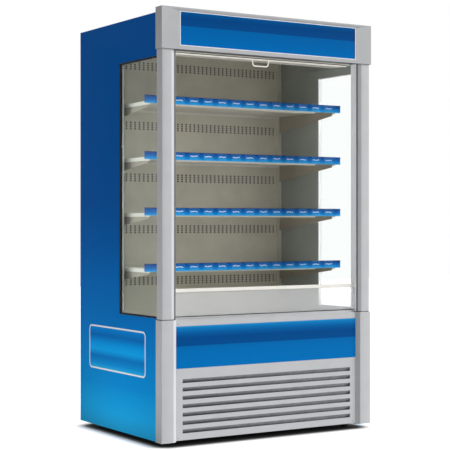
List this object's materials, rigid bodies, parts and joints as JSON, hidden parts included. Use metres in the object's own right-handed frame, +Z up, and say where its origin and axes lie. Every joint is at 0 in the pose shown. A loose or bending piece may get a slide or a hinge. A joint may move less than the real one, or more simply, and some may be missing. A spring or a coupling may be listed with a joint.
{
  "type": "open multideck display fridge",
  "caption": "Open-fronted multideck display fridge with lit header sign, glazed sides, shelves, louvred base and pull-down night blind.",
  "frame": {"origin": "on the floor under the middle of the cabinet's overall box", "axes": "+X to the right as seen from the open front, the front faces -Y, +Z up"},
  "size_m": [1.16, 0.885, 1.98],
  "materials": {
    "body_grey": "semi-gloss light grey powder coat",
    "wrap_blue": "satin printed blue film",
    "sign_blue": "lit blue acrylic",
    "liner_grey": "matt light grey enamel",
    "white_trim": "satin white",
    "strip_blue": "clear strip over blue tickets",
    "clear_glass": "clear",
    "black_rubber": "matt black",
    "black_plastic": "matt black",
    "white_plastic": "matt white",
    "blind_cloth": "woven, off-white",
    "galvanised": "zinc coated",
    "dark_metal": "black enamel",
    "aluminium": "bare",
    "copper": "bare copper"
  },
  "bodies": {
    "cabinet": {"base_frame": "galvanised", "levelling_feet": "black_plastic", "side_wall_left": "wrap_blue", "side_wall_right": "wrap_blue", "side_glass_left": "clear_glass", "side_glass_right": "clear_glass", "window_gaskets": "black_rubber", "roof_panel": "body_grey", "back_panel": "body_grey", "upper_column_left": "body_grey", "upper_column_right": "body_grey", "lower_column_left": "body_grey", "lower_column_right": "body_grey", "jamb_trims": "white_trim", "header_frame": "body_grey", "header_sign": "sign_blue", "canopy_soffit": "liner_grey", "air_discharge_honeycomb": "liner_grey", "ceiling_panel": "liner_grey", "rear_air_panel": "liner_grey", "kick_plate": "body_grey", "kick_graphic_panel": "wrap_blue", "front_ledge": "body_grey", "riser_glass": "clear_glass", "riser_top_rail": "white_trim", "tub": "white_plastic", "return_air_grille": "liner_grey", "deck_pan": "liner_grey", "shelf_uprights": "liner_grey", "shelf_brackets": "white_trim", "lamps": "white_plastic", "blind_cloth": "blind_cloth", "blind_brackets": "galvanised", "fan_partition": "galvanised", "fan_motors": "dark_metal", "evaporator": "aluminium", "unit_tray": "galvanised", "condenser": "dark_metal", "compressor": "dark_metal", "refrigerant_pipes": "copper", "evaporation_tray": "galvanised", "rear_grille": "galvanised", "control_box": "black_plastic", "shelf_1": "liner_grey", "price_strip_1": "strip_blue", "shelf_2": "liner_grey", "price_strip_2": "strip_blue", "shelf_3": "liner_grey", "price_strip_3": "strip_blue", "shelf_4": "liner_grey", "price_strip_4": "strip_blue"},
    "night_blind": {"blind_bar": "white_trim", "blind_handle": "white_trim"},
    "roller": {"blind_roller": "blind_cloth"},
    "left_evaporator_fan": {"evaporator_fan_left": "black_plastic"},
    "right_evaporator_fan": {"evaporator_fan_right": "black_plastic"},
    "condenser_fan_rotor": {"condenser_fan": "black_plastic"},
    "mains_switch": {"mains_rocker": "black_plastic"},
    "lamp_switch": {"lamp_rocker": "black_plastic"},
    "thermostat": {"thermostat_knob": "black_plastic"}
  },
  "joints": [
    {"name": "blind_pull", "type": "slide", "parent": "cabinet", "child": "night_blind", "axis": [0, 0, -1], "range_m": [0, 1.07], "stiffness_N_per_m": 12, "springref_m": -0.6, "deforming": ["blind_cloth"]},
    {"name": "roller_turn", "type": "hinge", "parent": "cabinet", "child": "roller", "pos_m": [0, -0.3195, 1.83], "axis": [1, 0, 0], "range_deg": [0, 2700]},
    {"name": "left_fan_spin", "type": "hinge", "parent": "cabinet", "child": "left_evaporator_fan", "pos_m": [-0.25, -0.1925, 0.44525], "axis": [0, 1, 0], "continuous": true},
    {"name": "right_fan_spin", "type": "hinge", "parent": "cabinet", "child": "right_evaporator_fan", "pos_m": [0.25, -0.1925, 0.44525], "axis": [0, 1, 0], "continuous": true},
    {"name": "condenser_fan_spin", "type": "hinge", "parent": "cabinet", "child": "condenser_fan_rotor", "pos_m": [-0.25, -0.2185, 0.1885], "axis": [0, 1, 0], "continuous": true},
    {"name": "mains_switch_rock", "type": "hinge", "parent": "cabinet", "child": "mains_switch", "pos_m": [0.4275, 0.423, 0.177], "axis": [1, 0, 0], "range_deg": [-16, 0]},
    {"name": "lamp_switch_rock", "type": "hinge", "parent": "cabinet", "child": "lamp_switch", "pos_m": [0.4275, 0.423, 0.237], "axis": [1, 0, 0], "range_deg": [-16, 0]},
    {"name": "thermostat_turn", "type": "hinge", "parent": "cabinet", "child": "thermostat", "pos_m": [0.36, 0.4285, 0.237], "axis": [0, 1, 0], "range_deg": [0, 270]}
  ],
  "couplings": [
    {"joint": "roller_turn", "follows": "blind_pull", "rad_per_m": 43.478}
  ]
}
